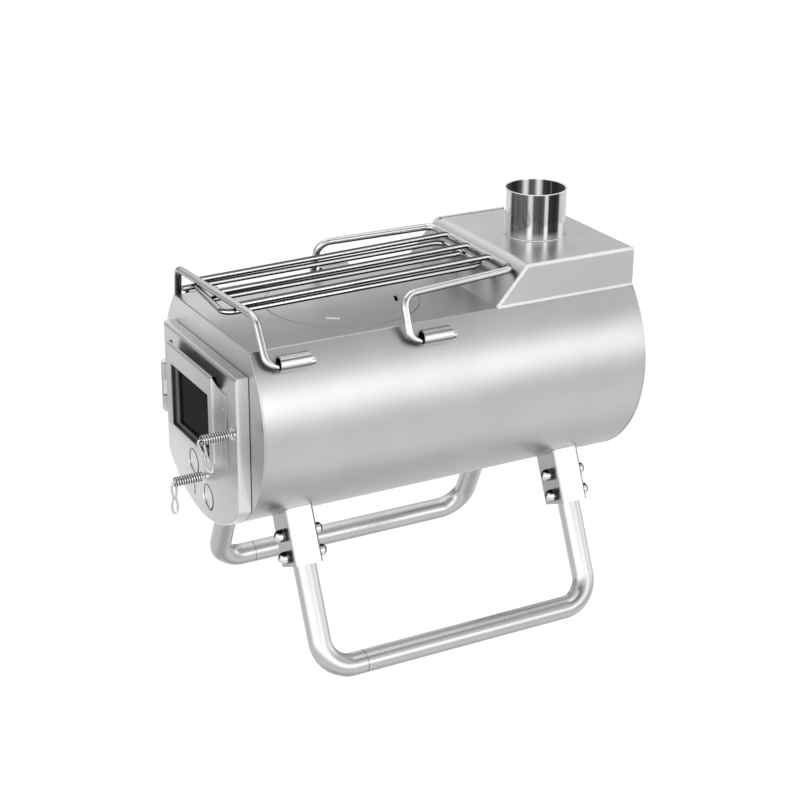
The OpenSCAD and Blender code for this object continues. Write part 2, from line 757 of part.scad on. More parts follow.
module rack_middle_rail() color(chrome) in_place() {
    y1 = (ring_front + ring_tie) / 2 + (1 - ring_skew) * bar_wire / 2 + weld_gap;
    y2 = ring_rear - bar_wire / 2 - weld_gap;
    straight([0, y1, ring_z(y1)], [0, y2, ring_z(y2)], bar_wire / 2, 0);
}

// Legs: drawn about the upper bolts, with Z up the arms and X outwards
module at_leg(side) in_place() mirror([side, 0, 0]) translate([bolt_x, 0, bolt_z]) rotate([0, -leg_splay, 0])
    children();

module bolt_holes(r, len) for (y = [leg_y1, leg_y2], z = [0, -bolt_pitch]) rod_y(0, z, y - len / 2, len, r);

module leg_front(side) color(satin) at_leg(side) difference() {
    bent([[0, leg_y1, arm_over], [0, leg_y1, -leg_len], [0, leg_seam_y - seam_gap, -leg_len]], [leg_bend],
        leg_r, leg_bore);
    bolt_holes(bolt_r + pin_gap, leg_d + over);
}

module leg_rear(side) color(satin) at_leg(side) difference() {
    union() {
        bent([[0, leg_seam_y, -leg_len], [0, leg_y2, -leg_len], [0, leg_y2, arm_over]], [leg_bend], leg_r, leg_bore);
        straight([0, leg_seam_y - spigot_len, -leg_len], [0, leg_seam_y, -leg_len], leg_bore - weld_gap,
            leg_bore - weld_gap - leg_t);
        straight([0, leg_seam_y, -leg_len], [0, leg_seam_y + leg_t, -leg_len], leg_bore, leg_bore - weld_gap - leg_t);
    }
    bolt_holes(bolt_r + pin_gap, leg_d + over);
}
module leg_right_front() leg_front(0);
module leg_right_rear() leg_rear(0);
module leg_left_front() leg_front(1);
module leg_left_rear() leg_rear(1);

// A folded channel, closed on the outside, coped to the round body that it is welded to
module bracket(y, side) color(bright) difference() {
    at_leg(side) difference() {
        translate([-bracket_in, y - bracket_w / 2, -bracket_low])
            cube([bracket_in + bracket_out, bracket_w, bracket_low + bracket_high]);
        translate([-bracket_in - over, y - bracket_w / 2 + bracket_t, -bracket_low - over])
            cube([bracket_in + bracket_out + over - bracket_t, bracket_w - 2 * bracket_t,
                bracket_low + bracket_high + 2 * over]);
        bolt_holes(bolt_r + pin_gap, bracket_w + over);
    }
    in_place() rod_y(0, 0, -over, body_len + 2 * over, body_r + weld_gap);
}
module bracket_front_right() bracket(leg_y1, 0);
module bracket_rear_right() bracket(leg_y2, 0);
module bracket_front_left() bracket(leg_y1, 1);
module bracket_rear_left() bracket(leg_y2, 1);

// Bolts with round heads at the back of each bracket and cap nuts at its front
module leg_bolts(side) color(dark) at_leg(side) for (y = [leg_y1, leg_y2], z = [0, -bolt_pitch]) {
    rod_y(0, z, y - bracket_w / 2 - bolt_nut_h, bracket_w + bolt_nut_h, bolt_r);
    translate([0, y + bracket_w / 2, z]) rotate([-90, 0, 0]) {
        cylinder(h = bolt_head_h / 2, r = bolt_head_r);
        translate([0, 0, bolt_head_h / 2]) cylinder(h = bolt_head_h / 2, r1 = bolt_head_r, r2 = bolt_head_r / 2);
    }
}

module leg_nuts(side) color(dark) at_leg(side) for (y = [leg_y1, leg_y2], z = [0, -bolt_pitch])
    translate([0, y - bracket_w / 2, z]) rotate([90, 0, 0]) difference() {
        union() {
            cylinder(h = bolt_nut_h, r = bolt_nut_r, $fn = 6);
            translate([0, 0, bolt_nut_h]) cylinder(h = bolt_dome_h, r1 = bolt_dome_r, r2 = bolt_dome_r / 2);
        }
        translate([0, 0, -over]) cylinder(h = bolt_nut_h + over + weld_gap, r = bolt_r + weld_gap);
    }
module leg_bolts_right() leg_bolts(0);
module leg_nuts_right() leg_nuts(0);
module leg_bolts_left() leg_bolts(1);
module leg_nuts_left() leg_nuts(1);

body_shell();
front_plate();
rear_plate();
smoke_box();
chimney_collar();
lid_ledge_ring();
smoke_baffle();
grate_rails();
fire_grate();
top_lid();
door_pan();
window_frame();
window_retainer();
window_glass();
door_hinge_leaf();
body_hinge_leaf();
hinge_pin();
latch_handle();
latch_spring();
latch_bush();
latch_cam();
damper_handle();
damper_spring();
damper_bush();
damper_disc();
socket_front_right();
socket_rear_right();
socket_front_left();
socket_rear_left();
rack_front_arch();
rack_rear_arch();
rack_bars();
rack_ring();
rack_middle_rail();
bracket_front_right();
bracket_rear_right();
bracket_front_left();
bracket_rear_left();
leg_right_front();
leg_right_rear();
leg_left_front();
leg_left_rear();
leg_bolts_right();
leg_nuts_right();
leg_bolts_left();
leg_nuts_left();
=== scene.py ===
# %% [markdown]
# # A round tent wood stove, dressed in Blender
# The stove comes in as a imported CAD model: a rolled steel drum with a flat cooking top, a windowed door, a wire rack
# and two bent tube legs. The CAD model fixes every size and every joint. This script gives the stove what a photograph
# shows and a CAD solid doesn't: soft folded edges, coiled wire, weld beads, bolts and the look of satin steel.

# %% Load the stove
import json
import math
import bpy
from mathutils import Matrix, Vector

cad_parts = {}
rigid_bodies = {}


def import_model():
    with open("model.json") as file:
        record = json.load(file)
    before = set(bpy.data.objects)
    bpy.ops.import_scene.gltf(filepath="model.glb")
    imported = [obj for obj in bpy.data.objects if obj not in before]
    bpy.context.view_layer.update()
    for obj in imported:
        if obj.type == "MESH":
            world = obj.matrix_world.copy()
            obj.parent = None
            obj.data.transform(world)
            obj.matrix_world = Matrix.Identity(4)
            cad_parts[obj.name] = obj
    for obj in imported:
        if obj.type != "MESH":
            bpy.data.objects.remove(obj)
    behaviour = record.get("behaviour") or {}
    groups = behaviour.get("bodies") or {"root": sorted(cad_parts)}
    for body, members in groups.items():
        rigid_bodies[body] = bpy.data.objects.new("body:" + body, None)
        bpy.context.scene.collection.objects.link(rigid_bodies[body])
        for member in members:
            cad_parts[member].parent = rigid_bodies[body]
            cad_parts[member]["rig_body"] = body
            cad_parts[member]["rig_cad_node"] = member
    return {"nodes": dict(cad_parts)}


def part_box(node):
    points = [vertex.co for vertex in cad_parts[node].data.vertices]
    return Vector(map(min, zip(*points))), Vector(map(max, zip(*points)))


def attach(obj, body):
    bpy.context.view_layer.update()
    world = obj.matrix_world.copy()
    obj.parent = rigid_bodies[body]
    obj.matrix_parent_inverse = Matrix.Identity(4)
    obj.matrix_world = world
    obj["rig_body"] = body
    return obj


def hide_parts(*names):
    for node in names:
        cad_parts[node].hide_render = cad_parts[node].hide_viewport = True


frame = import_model()
bpy.ops.object.select_all(action="DESELECT")
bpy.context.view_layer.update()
nodes = frame["nodes"]

# %% [markdown]
# ## Where things are
# The stove was measured from the middle of its front plate, in millimetres: x to the right, y to the rear, z up. One
# helper turns those measures into the scene's metres, so that every number below can be read as a maker would read it
# off the stove. The spindles of the latch and the damper are given as (x, z), and the bracket rows as y.

# %% Places on the stove
MM = 0.001
FRONT_PLATE_Y, AXIS_HEIGHT = -178.0, 245.0
DRUM_RADIUS, DRUM_LENGTH, TOP_HEIGHT = 115.0, 404.0, 76.5
COLLAR_Y, BOX_TOP, LID_Y = 345.0, 113.0, 134.0
LATCH, DAMPER = (76.0, -1.7), (8.9, -69.5)
BRACKET_ROWS, SPLAY = (51.5, 342.0), math.radians(24.7)


def at(x, y, z):
    """A place measured from the middle of the front plate, in mm, as a point in the scene."""
    return Vector((x, y + FRONT_PLATE_Y, z + AXIS_HEIGHT)) * MM


print("front plate middle:", [round(v, 4) for v in at(0, 0, 0)])

# %% [markdown]
# ## The camera
# A photograph is matched best when the camera stands where the photographer stood. The place, the turn and the lens
# here were worked out by fitting the stove's outline to the picture, so nothing in the model has to be bent to suit it.

# %% Camera
SENSOR_WIDTH, FOCAL_PIXELS, PICTURE_PIXELS = 36, 1857.65, 800
CAMERA_PLACE = (1469.5, -603.6, 654.3)
azimuth, elevation, roll = map(math.radians, (61.422, 22.435, 0.459))
back = Vector((math.sin(azimuth) * math.cos(elevation), -math.cos(azimuth) * math.cos(elevation),
               math.sin(elevation)))
right = Vector((math.cos(azimuth), math.sin(azimuth), 0))
up = back.cross(right)
rolled_right = right * math.cos(roll) + up * math.sin(roll)
rolled_up = up * math.cos(roll) - right * math.sin(roll)
bpy.ops.object.camera_add()
camera = bpy.context.object
turn = Matrix((rolled_right, rolled_up, back)).transposed().to_4x4()
camera.matrix_world = Matrix.Translation(at(*CAMERA_PLACE)) @ turn
camera.data.lens = SENSOR_WIDTH * FOCAL_PIXELS / PICTURE_PIXELS
camera.data.clip_end = 100
bpy.context.scene.camera = camera
print("lens in mm:", round(camera.data.lens, 1))

# %% [markdown]
# ## Working with shader nodes
# Every finish below is a small net of nodes, and the same few moves come back in each: do a sum, split a vector, step
# softly from one value to another, mix two colours, or read a grey off a ramp. Each move gets a short helper here. A
# socket takes either a plain value or another node's output.

# %% Node helpers


def feed(tree, node, given):
    """Gives each named socket of a node its value or its link."""
    for socket, value in given.items():
        if isinstance(value, bpy.types.NodeSocket):
            tree.links.new(value, node.inputs[socket])
        else:
            node.inputs[socket].default_value = value
    return node


def add(tree, kind, given=None, **settings):
    """A shader node with its settings and what goes into it."""
    node = tree.nodes.new(kind)
    for key, value in settings.items():
        setattr(node, key, value)
    return feed(tree, node, given or {})


def compute(tree, operation, *values, **settings):
    """A sum of values or links."""
    return add(tree, "ShaderNodeMath", dict(enumerate(values)), operation=operation, **settings).outputs[0]


def vector(tree, operation, *values):
    """A sum of vectors. Its outputs are named Vector and Value."""
    return add(tree, "ShaderNodeVectorMath", dict(enumerate(values)), operation=operation).outputs


def coordinates(tree, kind="Object"):
    """Where the surface is, or with Normal which way it faces."""
    return add(tree, "ShaderNodeTexCoord").outputs[kind]


def parts_of(tree, whole):
    """The X, Y and Z of a vector."""
    return add(tree, "ShaderNodeSeparateXYZ", {0: whole}).outputs


def rise(tree, value, low, high, start=0.0):
    """A soft step from start to 1 while the value goes from low to high."""
    return add(tree, "ShaderNodeMapRange", {"Value": value, "From Min": low, "From Max": high, "To Min": start},
               interpolation_type="SMOOTHSTEP").outputs[0]


def blend(tree, factor, a, b, how="MIX"):
    """Two colours mixed."""
    return add(tree, "ShaderNodeMix", {"Factor": factor, "A": a, "B": b}, data_type="RGBA",
               blend_type=how).outputs["Result"]


def ramp(tree, place, stops):
    """Greys read along a value from 0 to 1: (place, brightness)."""
    node = add(tree, "ShaderNodeValToRGB", {0: place})
    elements = node.color_ramp.elements
    while len(elements) > 1:
        elements.remove(elements[-1])
    for i, (spot, brightness) in enumerate(stops):
        stop = elements[0] if i == 0 else elements.new(spot)
        stop.position = spot
        stop.color = (brightness, brightness, brightness, 1)
    return node.outputs[0]


def turn_share(tree, sideways, x):
    """An angle from +X as a share of a whole turn that starts at -X."""
    return compute(tree, "MULTIPLY_ADD", compute(tree, "ARCTAN2", sideways, x), 0.5 / math.pi, 0.5)


def by_angle(tree, share, stops):
    """Greys round a turn, by the angle in degrees from +X."""
    return ramp(tree, share, [((angle + 180) / 360, brightness) for angle, brightness in stops])


def grey(tree, tone):
    """A tone as a colour whose channels are alike."""
    return add(tree, "ShaderNodeCombineColor", {"Red": tone, "Green": tone, "Blue": tone}).outputs[0]


print("node helpers ready")

# %% [markdown]
# ## The studio
# Bare steel has almost no colour of its own: it shows the room. A product photograph of steel is taken in a white
# tent, and the bright bands on the metal are the tent's lit walls. Here the world is that tent. Its right wall has one
# bright band at eye height, which draws the white streak along the drum, and it darkens upwards. Its left wall is
# plainer and greyer, and lights the flat top and the door. Each wall is a ramp by height, and three ramps by angle
# change it a little on the way round.

# %% Walls of the tent
world = bpy.data.worlds.new("white tent")
bpy.context.scene.world = world
world.use_nodes = True
tent = world.node_tree
tent.nodes.clear()
looking = parts_of(tent, coordinates(tent, "Generated"))
height = compute(tent, "MULTIPLY_ADD", looking["Z"], 0.5, 0.5)
around = turn_share(tent, looking["Y"], looking["X"])


def wall(stops):
    """One wall of the tent: brightness by height in degrees above the horizon."""
    return ramp(tent, height, [(0.5 + 0.5 * math.sin(math.radians(degrees)), brightness)
                               for degrees, brightness in stops])


right_wall = wall([
    (-90, 0.46), (-64, 0.52), (-54, 0.76), (-36, 0.78), (-24, 0.64), (-15, 0.68), (-8, 0.98), (0, 1.6), (12, 1.9),
    (19, 1.3), (27, 0.82), (37, 0.66), (45, 0.46), (52, 0.16), (58, 0.10), (66, 1.1), (90, 1.0)])
left_wall = wall([
    (-90, 0.50), (-60, 0.62), (-30, 0.76), (-12, 0.66), (-4, 0.28), (4, 0.30), (10, 0.46), (24, 0.50), (36, 0.8),
    (50, 1.0), (58, 0.9), (66, 1.1), (90, 1.0)])
rear_fall = by_angle(tent, around, [(-180, 1.0), (14.4, 1.0), (23.4, 1.12), (38.88, 0.6), (57.6, 0.6), (90, 1.0),
                                    (180, 1.0)])
rear_rise = by_angle(tent, around, [(-180, 1.0), (25.2, 0.8), (36, 1.0), (54, 1.9), (90, 1.0), (180, 1.0)])
far_left = by_angle(tent, around, [(-180, 1.5), (-167.4, 1.0), (142.2, 1.0), (149.4, 1.12), (157.32, 1.9),
                                   (180, 1.5)])
print("tent walls:", len(tent.nodes), "nodes")

# %% [markdown]
# ## The room and the backdrop
# The two walls are joined softly in front of and behind the stove. The camera itself sees none of this: for it the
# backdrop stays pure white, as in the picture.

# %% Room
towards_roof = rise(tent, looking["Z"], 0.50, 0.68)
above_floor = rise(tent, looking["Z"], -0.45, -0.12)
low_down = rise(tent, looking["Z"], 0.50, 0.40)
to_the_left = rise(tent, looking["X"], 0.25, -0.45)
rear_light = blend(tent, towards_roof, rear_fall, rear_rise)
right_side = blend(tent, above_floor, right_wall, rear_light, "MULTIPLY")
left_side = blend(tent, low_down, left_wall, far_left, "MULTIPLY")
room = add(tent, "ShaderNodeBackground", {"Color": blend(tent, to_the_left, right_side, left_side)})
backdrop = add(tent, "ShaderNodeBackground", {"Color": (1, 1, 1, 1), "Strength": 1.1})
seen = add(tent, "ShaderNodeLightPath").outputs["Is Camera Ray"]
either = add(tent, "ShaderNodeMixShader", {0: seen, 1: room.outputs[0], 2: backdrop.outputs[0]})
add(tent, "ShaderNodeOutputWorld", {0: either.outputs[0]})
bpy.context.scene.view_settings.view_transform = "Standard"
print("room:", len(tent.nodes), "nodes")

# %% [markdown]
# ## Surface effects
# Sheet steel for stoves is rolled and then dulled, which leaves a grain finer than a hair and faint cloudy patches.
# Both are made once as node groups, and each steel below uses them with its own values.

# %% Grain and clouds


def effect(name, inputs, output):
    """A new shader node group: itself, its inputs and the node that takes its output."""
    group = bpy.data.node_groups.new(name, "ShaderNodeTree")
    for socket, value in inputs.items():
        made = group.interface.new_socket(socket, in_out="INPUT", socket_type="NodeSocketFloat")
        made.default_value = value
    group.interface.new_socket(output, in_out="OUTPUT", socket_type="NodeSocketFloat")
    return group, add(group, "NodeGroupInput").outputs, add(group, "NodeGroupOutput")


grain, given, result = effect("fine grain", {"Scale": 1500.0, "Stretch": 1.0}, "Height")
squeeze = add(grain, "ShaderNodeCombineXYZ", {"X": 1, "Y": given["Stretch"], "Z": 1}).outputs[0]
stretched = vector(grain, "MULTIPLY", coordinates(grain), squeeze)["Vector"]
speck = add(grain, "ShaderNodeTexNoise", {"Vector": stretched, "Scale": given["Scale"], "Detail": 3})
feed(grain, result, {"Height": speck.outputs["Fac"]})

clouds, given, result = effect("cloudy patches", {"Scale": 9.0, "Low": 0.3, "High": 0.4}, "Value")
puff = add(clouds, "ShaderNodeTexNoise", {"Vector": coordinates(clouds), "Scale": given["Scale"], "Detail": 4})
spread = add(clouds, "ShaderNodeMapRange", {"Value": puff.outputs["Fac"], "From Min": 0.3, "From Max": 0.7,
                                            "To Min": given["Low"], "To Max": given["High"]})
feed(clouds, result, {"Value": spread.outputs[0]})
print("effects:", [g.name for g in bpy.data.node_groups])

# %% [markdown]
# ## How a steel is built
# Each steel has a tone, a roughness that wanders in clouds, and a grain. Bright wire and bolts also need the dark sides
# that polished metal has in a studio, where it mirrors what is black. These are painted shade and painted reflections:
# they are painted into the tone by the way the surface faces, and on the front of the stove by the place on it, so they
# look alike from every camera.

# %% Steel helpers
CLOUD_SCALE, PATCH_REACH = 9.0, 120.0


def painted_by_facing(tree, tone, axis, low, high, darkest, *bare):
    """Paints shade or light into a tone by the way the surface faces along an axis: from darkest at low to bare at
    high, and with two more values to bare again. A minus sign before the axis means that both ways along it count
    alike."""
    normal = coordinates(tree, "Normal")
    if axis.startswith("-"):
        normal = vector(tree, "ABSOLUTE", normal)["Vector"]
    facing = parts_of(tree, normal)[axis[-1]]
    left = rise(tree, facing, low, high, darkest)
    if bare:
        left = compute(tree, "MAXIMUM", left, rise(tree, facing, *bare))
    return compute(tree, "MULTIPLY", tone, left)


def reflection_by_facing(tree, tone, axis, stops):
    """Paints reflection bands into a tone by the way it faces: greys by the angle from +X towards the axis, in degrees.
    """
    facing = parts_of(tree, coordinates(tree, "Normal"))
    return compute(tree, "MULTIPLY", tone, by_angle(tree, turn_share(tree, facing[axis], facing["X"]), stops))


def reflection_by_place(tree, tone, axis, stops):
    """Paints reflection into a tone by place: greys by the distance in mm from the middle of the front plate."""
    middle = at(0, 0, 0)["XYZ".index(axis)]
    span = add(tree, "ShaderNodeMapRange", {
        "Value": parts_of(tree, coordinates(tree))[axis], "From Min": middle - PATCH_REACH * MM,
        "From Max": middle + PATCH_REACH * MM}).outputs[0]
    shades = ramp(tree, span, [(0.5 + 0.5 * mm / PATCH_REACH, brightness) for mm, brightness in stops])
    return compute(tree, "MULTIPLY", tone, shades, use_clamp=True)


def steel(name, shade, rough_low, rough_high, grain_scale, grain_depth, stretch=1.0, facing_paint=None, painted_reflections=None,
          patches=()):
    """A bare metal: its tone, how rough it runs, its grain, and its painted shade, highlights and reflections."""
    made = bpy.data.materials.new(name)
    made.use_nodes = True
    tree = made.node_tree
    dull = add(tree, "ShaderNodeGroup", {"Scale": CLOUD_SCALE, "Low": rough_low, "High": rough_high},
               node_tree=clouds)
    tone = add(tree, "ShaderNodeGroup", {"Scale": CLOUD_SCALE * 2.3, "Low": shade * 0.96,
                                         "High": min(1.0, shade * 1.03)}, node_tree=clouds).outputs["Value"]
    if facing_paint:
        tone = painted_by_facing(tree, tone, *facing_paint)
    if painted_reflections:
        tone = reflection_by_facing(tree, tone, *painted_reflections)
    for patch in patches:
        tone = reflection_by_place(tree, tone, *patch)
    texture = add(tree, "ShaderNodeGroup", {"Scale": grain_scale, "Stretch": stretch}, node_tree=grain)
    bump = add(tree, "ShaderNodeBump", {"Strength": grain_depth, "Distance": 0.1 * MM,
                                        "Height": texture.outputs["Height"]})
    feed(tree, tree.nodes["Principled BSDF"], {
        "Metallic": 1.0, "Base Color": grey(tree, tone), "Roughness": dull.outputs["Value"],
        "Normal": bump.outputs[0]})
    return made


print("steel helpers ready")

# %% [markdown]
# ## Sheet and tube
# The drum, the door and the legs are satin: rough enough to blur the room into broad bands. The door and the front
# plate get a painted reflection of the ground and what stands near them: they are painted lighter at the bottom and the
# top than in the middle, and greyer towards the right. The door's right-facing sides are painted lighter as a
# highlight.
# The brackets get a painted highlight on their outsides and painted shade round one fold.

# %% Sheet steels
SATIN_GRAIN = (1600, 0.25)
FRONT_REFLECTION_HEIGHTS = ("Z", [(-80, 1.35), (-58, 1.32), (-30, 0.88), (-10, 0.84), (18, 0.95), (30, 1.08), (69, 1.24)])
satin_sheet = steel("satin sheet steel", 0.70, 0.30, 0.36, *SATIN_GRAIN)
# Painted highlight: the box top is painted lighter than its sides, by the way it faces.
box_sheet = steel("satin box steel, painted lighter on top", 0.82, 0.30, 0.36, *SATIN_GRAIN, facing_paint=("Z", 0.8, 0.97, 0.86))
# Painted reflection on the front plate: lighter low and high, greyer towards the right.
plate_sheet = steel("satin front plate steel, painted reflection", 0.65, 0.32, 0.38, *SATIN_GRAIN, patches=[FRONT_REFLECTION_HEIGHTS, ("X", [
    (-115, 1.15), (-70, 1.12), (0, 1.0), (60, 0.87), (93, 0.76), (115, 0.74)])])
# Painted highlight on the door's right-facing sides, and painted reflection as on the front plate.
door_sheet = steel("satin door steel, painted reflection and highlight", 0.99, 0.32, 0.38, *SATIN_GRAIN, facing_paint=("X", 0.35, 0.9, 0.66), patches=[
    FRONT_REFLECTION_HEIGHTS, ("X", [(-88, 1.12), (-40, 1.08), (0, 1.0), (43, 0.89), (82, 0.84), (86, 1.25)])])
# Painted highlight on the bracket's outer face and painted shade at its folds, darkest round the rear one.
bracket_sheet = steel("bright bracket steel", 0.93, 0.24, 0.30, 1600, 0.1, painted_reflections=("Y", [
    (-180, 1.0), (-158, 1.0), (-140, 0.5), (-125, 0.6), (-55, 0.6), (-40, 0.5), (-22, 1.0), (6, 1.0), (20, 0.2),
    (62, 0.2), (74, 0.8), (160, 0.8), (174, 1.0), (180, 1.0)]))
leg_tube = steel("satin tube steel", 0.68, 0.21, 0.27, 1800, 0.2)
inner_steel = steel("dull inner steel", 0.24, 0.42, 0.55, 900, 0.4)
print("materials so far:", len(bpy.data.materials))

# %% [markdown]
# ## Wire and pipe
# Bright round stock shows the room as thin lines along it, white where it faces the lit wall and nearly black above and
# below. These lines are painted reflections: they are painted into the tone by the way the surface faces, which on a
# straight wire means a stripe along its length. The rack's bars lie along the stove, so their painted stripes are laid
# in the upright plane across it, and the upright arches get theirs in the level plane. The arches' undersides and the
# gaps between a coil's curls are painted darker as shade.

# %% Wire steels
# Painted reflection stripes round the rack wires: a dark band on top, a painted highlight, painted shade underneath.
BAR_REFLECTION_STRIPES = [(-180, 0.6), (-165, 0.3), (-90, 0.2), (-70, 0.01), (-10, 0.01), (0, 0.5), (5, 1.0), (36, 1.0),
               (46, 0.2), (60, 0.08)]
FAR_REFLECTION_STRIPE = [(120, 0.1), (138, 1.0), (170, 1.0), (180, 0.6)]
bright_wire = steel("polished wire", 0.85, 0.09, 0.13, 1200, 0.1)
# Painted shade between the coil's curls, by the way the surface faces along the coil.
coil_wire = steel("coil wire, painted shade between its curls", 0.97, 0.10, 0.14, 1200, 0.05, facing_paint=("-Y", 0.8, 0.35, 0.03))
bar_wire = steel("rack bar wire, painted reflection stripes", 0.96, 0.12, 0.16, 1200, 0.0,
                 painted_reflections=("Z", BAR_REFLECTION_STRIPES + [(100, 0.16)] + FAR_REFLECTION_STRIPE))
ring_wire = steel("rack ring wire, painted reflection stripes and shade", 0.96, 0.12, 0.16, 1200, 0.0,
                  painted_reflections=("Z", BAR_REFLECTION_STRIPES + [(84, 0.15), (88, 0.8), (94, 0.8), (98, 0.15)] + FAR_REFLECTION_STRIPE))
# Painted reflection bands along the arches and painted shade on their undersides.
arch_wire = steel("arch wire, painted reflection and shade underneath", 0.92, 0.14, 0.18, 1200, 0.02, facing_paint=("Z", -0.5, 0.05, 0.05), painted_reflections=("Y", [
    (-180, 0.3), (-126, 0.2), (-104, 0.22), (-92, 0.85), (-70, 1.0), (-28, 1.0), (-15, 0.62), (-3, 1.0), (28, 1.0),
    (44, 0.35), (68, 0.35), (82, 0.85), (100, 0.85), (120, 0.3), (180, 0.3)]))
polished_pipe = steel("polished pipe steel", 0.72, 0.12, 0.16, 900, 0.12, stretch=0.05)
# Painted reflection bands round the sockets, by the way the surface faces.
socket_pipe = steel("socket pipe steel, painted reflection bands", 0.95, 0.16, 0.2, 900, 0.05, painted_reflections=("Z", [
    (-180, 0.3), (-75, 0.35), (-55, 0.7), (-30, 0.7), (-22, 0.25), (-12, 0.25), (-4, 0.95), (32, 1.0), (42, 0.55),
    (84, 0.55), (96, 0.2), (125, 0.2), (180, 0.3)]))
print("materials so far:", len(bpy.data.materials))

# %% [markdown]
# ## Screws and welds
# Nuts and bolt heads are the brightest things on the legs. What makes them read as screws is the dark line round each,
# which is painted shade and painted dark reflection: the nut's corners, the foot of its dome, the edge of the head and
# its rear are painted darker by the way they face, and the dome and the head get painted highlight bands between dark
# ones.
# A fresh weld isn't polished, so it is rough and only half a mirror.

# %% Screw and weld steels
bolt_steel = steel("bright bolt steel", 0.85, 0.10, 0.16, 1500, 0.12)
# Painted shade on the nut's corners, the dome's foot and round the head; painted highlight bands on dome and head.
nut_steel = steel("nut steel, painted shade in its corners", 0.95, 0.12, 0.18, 1500, 0.12, facing_paint=("Y", -0.45, -0.85, 0.12))
dome_steel = steel(
    "nut dome steel, painted shade and highlight", 0.98, 0.16, 0.22, 1500, 0.05, facing_paint=("-Z", 0.74, 0.58, 0.01),
    painted_reflections=("Y", [(-180, 1.0), (-136, 1.0), (-124, 0.02), (-88, 0.02), (-74, 1.0), (2, 1.0), (16, 0.02), (66, 0.02),
                   (80, 1.0), (180, 1.0)]))
head_steel = steel(
    "bolt head steel, painted shade and highlight", 0.98, 0.2, 0.26, 1500, 0.05, facing_paint=("Y", 0.42, 0.12, 0.01, 0.9, 0.96),
    painted_reflections=("Z", [(-180, 1.0), (-140, 1.0), (-118, 0.1), (-56, 0.02), (-42, 1.0), (48, 1.0), (62, 0.02), (118, 0.1),
                   (140, 1.0), (180, 1.0)]))
fresh_weld = steel("fresh weld", 0.97, 0.55, 0.65, 700, 0.3)
feed(fresh_weld.node_tree, fresh_weld.node_tree.nodes["Principled BSDF"], {"Metallic": 0.4})
print("materials so far:", len(bpy.data.materials))

# %% [markdown]
# ## The collar's painted reflections
# The collar is turned on a lathe and polished like a mirror. The tall dark and bright bands it shows are painted
# reflections of the room: they are painted round the pipe by angle and fade near its foot into a plain grey that stands
# for the mirrored box top. Inside, the pipe is painted dark as shade but for two bright bands, which are painted light
# and glow a little as if light fell in from above. Its rim is painted white as a highlight.

# %% Collar painted reflections
COLLAR_INSIDE, COLLAR_RIM = 28.7 * MM, 45.3 * MM
collar_painted_steel = steel("mirror pipe steel, painted reflections and glow", 0.95, 0.12, 0.15, 900, 0.05)
pipe = collar_painted_steel.node_tree
place = parts_of(pipe, vector(pipe, "SUBTRACT", coordinates(pipe), at(0, COLLAR_Y, BOX_TOP))["Vector"])
round_pipe = turn_share(pipe, place["Y"], place["X"])
outer_painted_reflections = by_angle(pipe, round_pipe, [
    (-180, 0.9), (-86, 0.95), (-81, 0.12), (-76, 0.12), (-73, 0.26), (-62, 0.2), (-48, 0.22), (-43.5, 0.95),
    (-38.5, 0.95), (-35.5, 0.15), (-28, 0.12), (-24, 0.08), (-16, 0.14), (-13.5, 0.95), (-9, 0.95), (-7, 0.05),
    (8, 0.04), (15, 0.08), (19, 0.85), (60, 1.0), (180, 0.9)])
inner_painted_light = by_angle(pipe, round_pipe, [
    (-180, 0.06), (-170, 0.02), (113, 0.02), (115.5, 0.12), (118, 0.02), (132, 0.04), (137, 0.5), (142, 0.8),
    (146, 0.45), (150, 0.1), (160, 0.08), (164, 0.6), (169, 0.75), (174, 0.3), (178, 0.06)])
flat_place = add(pipe, "ShaderNodeCombineXYZ", {"X": place["X"], "Y": place["Y"]}).outputs[0]
from_axis = vector(pipe, "LENGTH", flat_place)["Value"]
outside = blend(pipe, rise(pipe, place["Z"], 2 * MM, 9 * MM, 0.6), (0.75, 0.75, 0.75, 1), outer_painted_reflections)
both_sides = blend(pipe, compute(pipe, "GREATER_THAN", from_axis, COLLAR_INSIDE), inner_painted_light, outside)
with_painted_rim_highlight = blend(pipe, compute(pipe, "GREATER_THAN", place["Z"], COLLAR_RIM), both_sides, (1, 1, 1, 1))
# The inside is painted light: it glows through emission though no lamp is there.
feed(pipe, pipe.nodes["Principled BSDF"], {
    "Base Color": with_painted_rim_highlight, "Emission Color": inner_painted_light,
    "Emission Strength": compute(pipe, "LESS_THAN", from_axis, COLLAR_INSIDE)})
print("collar polish:", len(pipe.nodes), "nodes")

# %% [markdown]
# ## The stove glass
# Ceramic stove glass is clear, but with a cold black firebox behind it, it reads as glossy black. It is made as black
# glossy glaze with a faint film of smoke, which keeps it dark from every side.

# %% Glass
stove_glass = bpy.data.materials.new("dark stove glass")
stove_glass.use_nodes = True
pane = stove_glass.node_tree
film = add(pane, "ShaderNodeGroup", {"Scale": 30, "Low": 0.06, "High": 0.16}, node_tree=clouds)
feed(pane, pane.nodes["Principled BSDF"], {"Base Color": (0.006, 0.006, 0.007, 1), "IOR": 1.07,
                                           "Roughness": film.outputs["Value"]})
print("glass:", stove_glass.name)

# %% [markdown]
# ## The disc behind the air holes
# The damper's disc lies close behind the door's two air holes. Light reaches it from the left, so a dark crescent
# lies on it along the right of each hole. The crescent is painted shade: each painted lit patch is a circle that is set
# a little to the left of its hole, and the rest of the disc is painted nearly black.

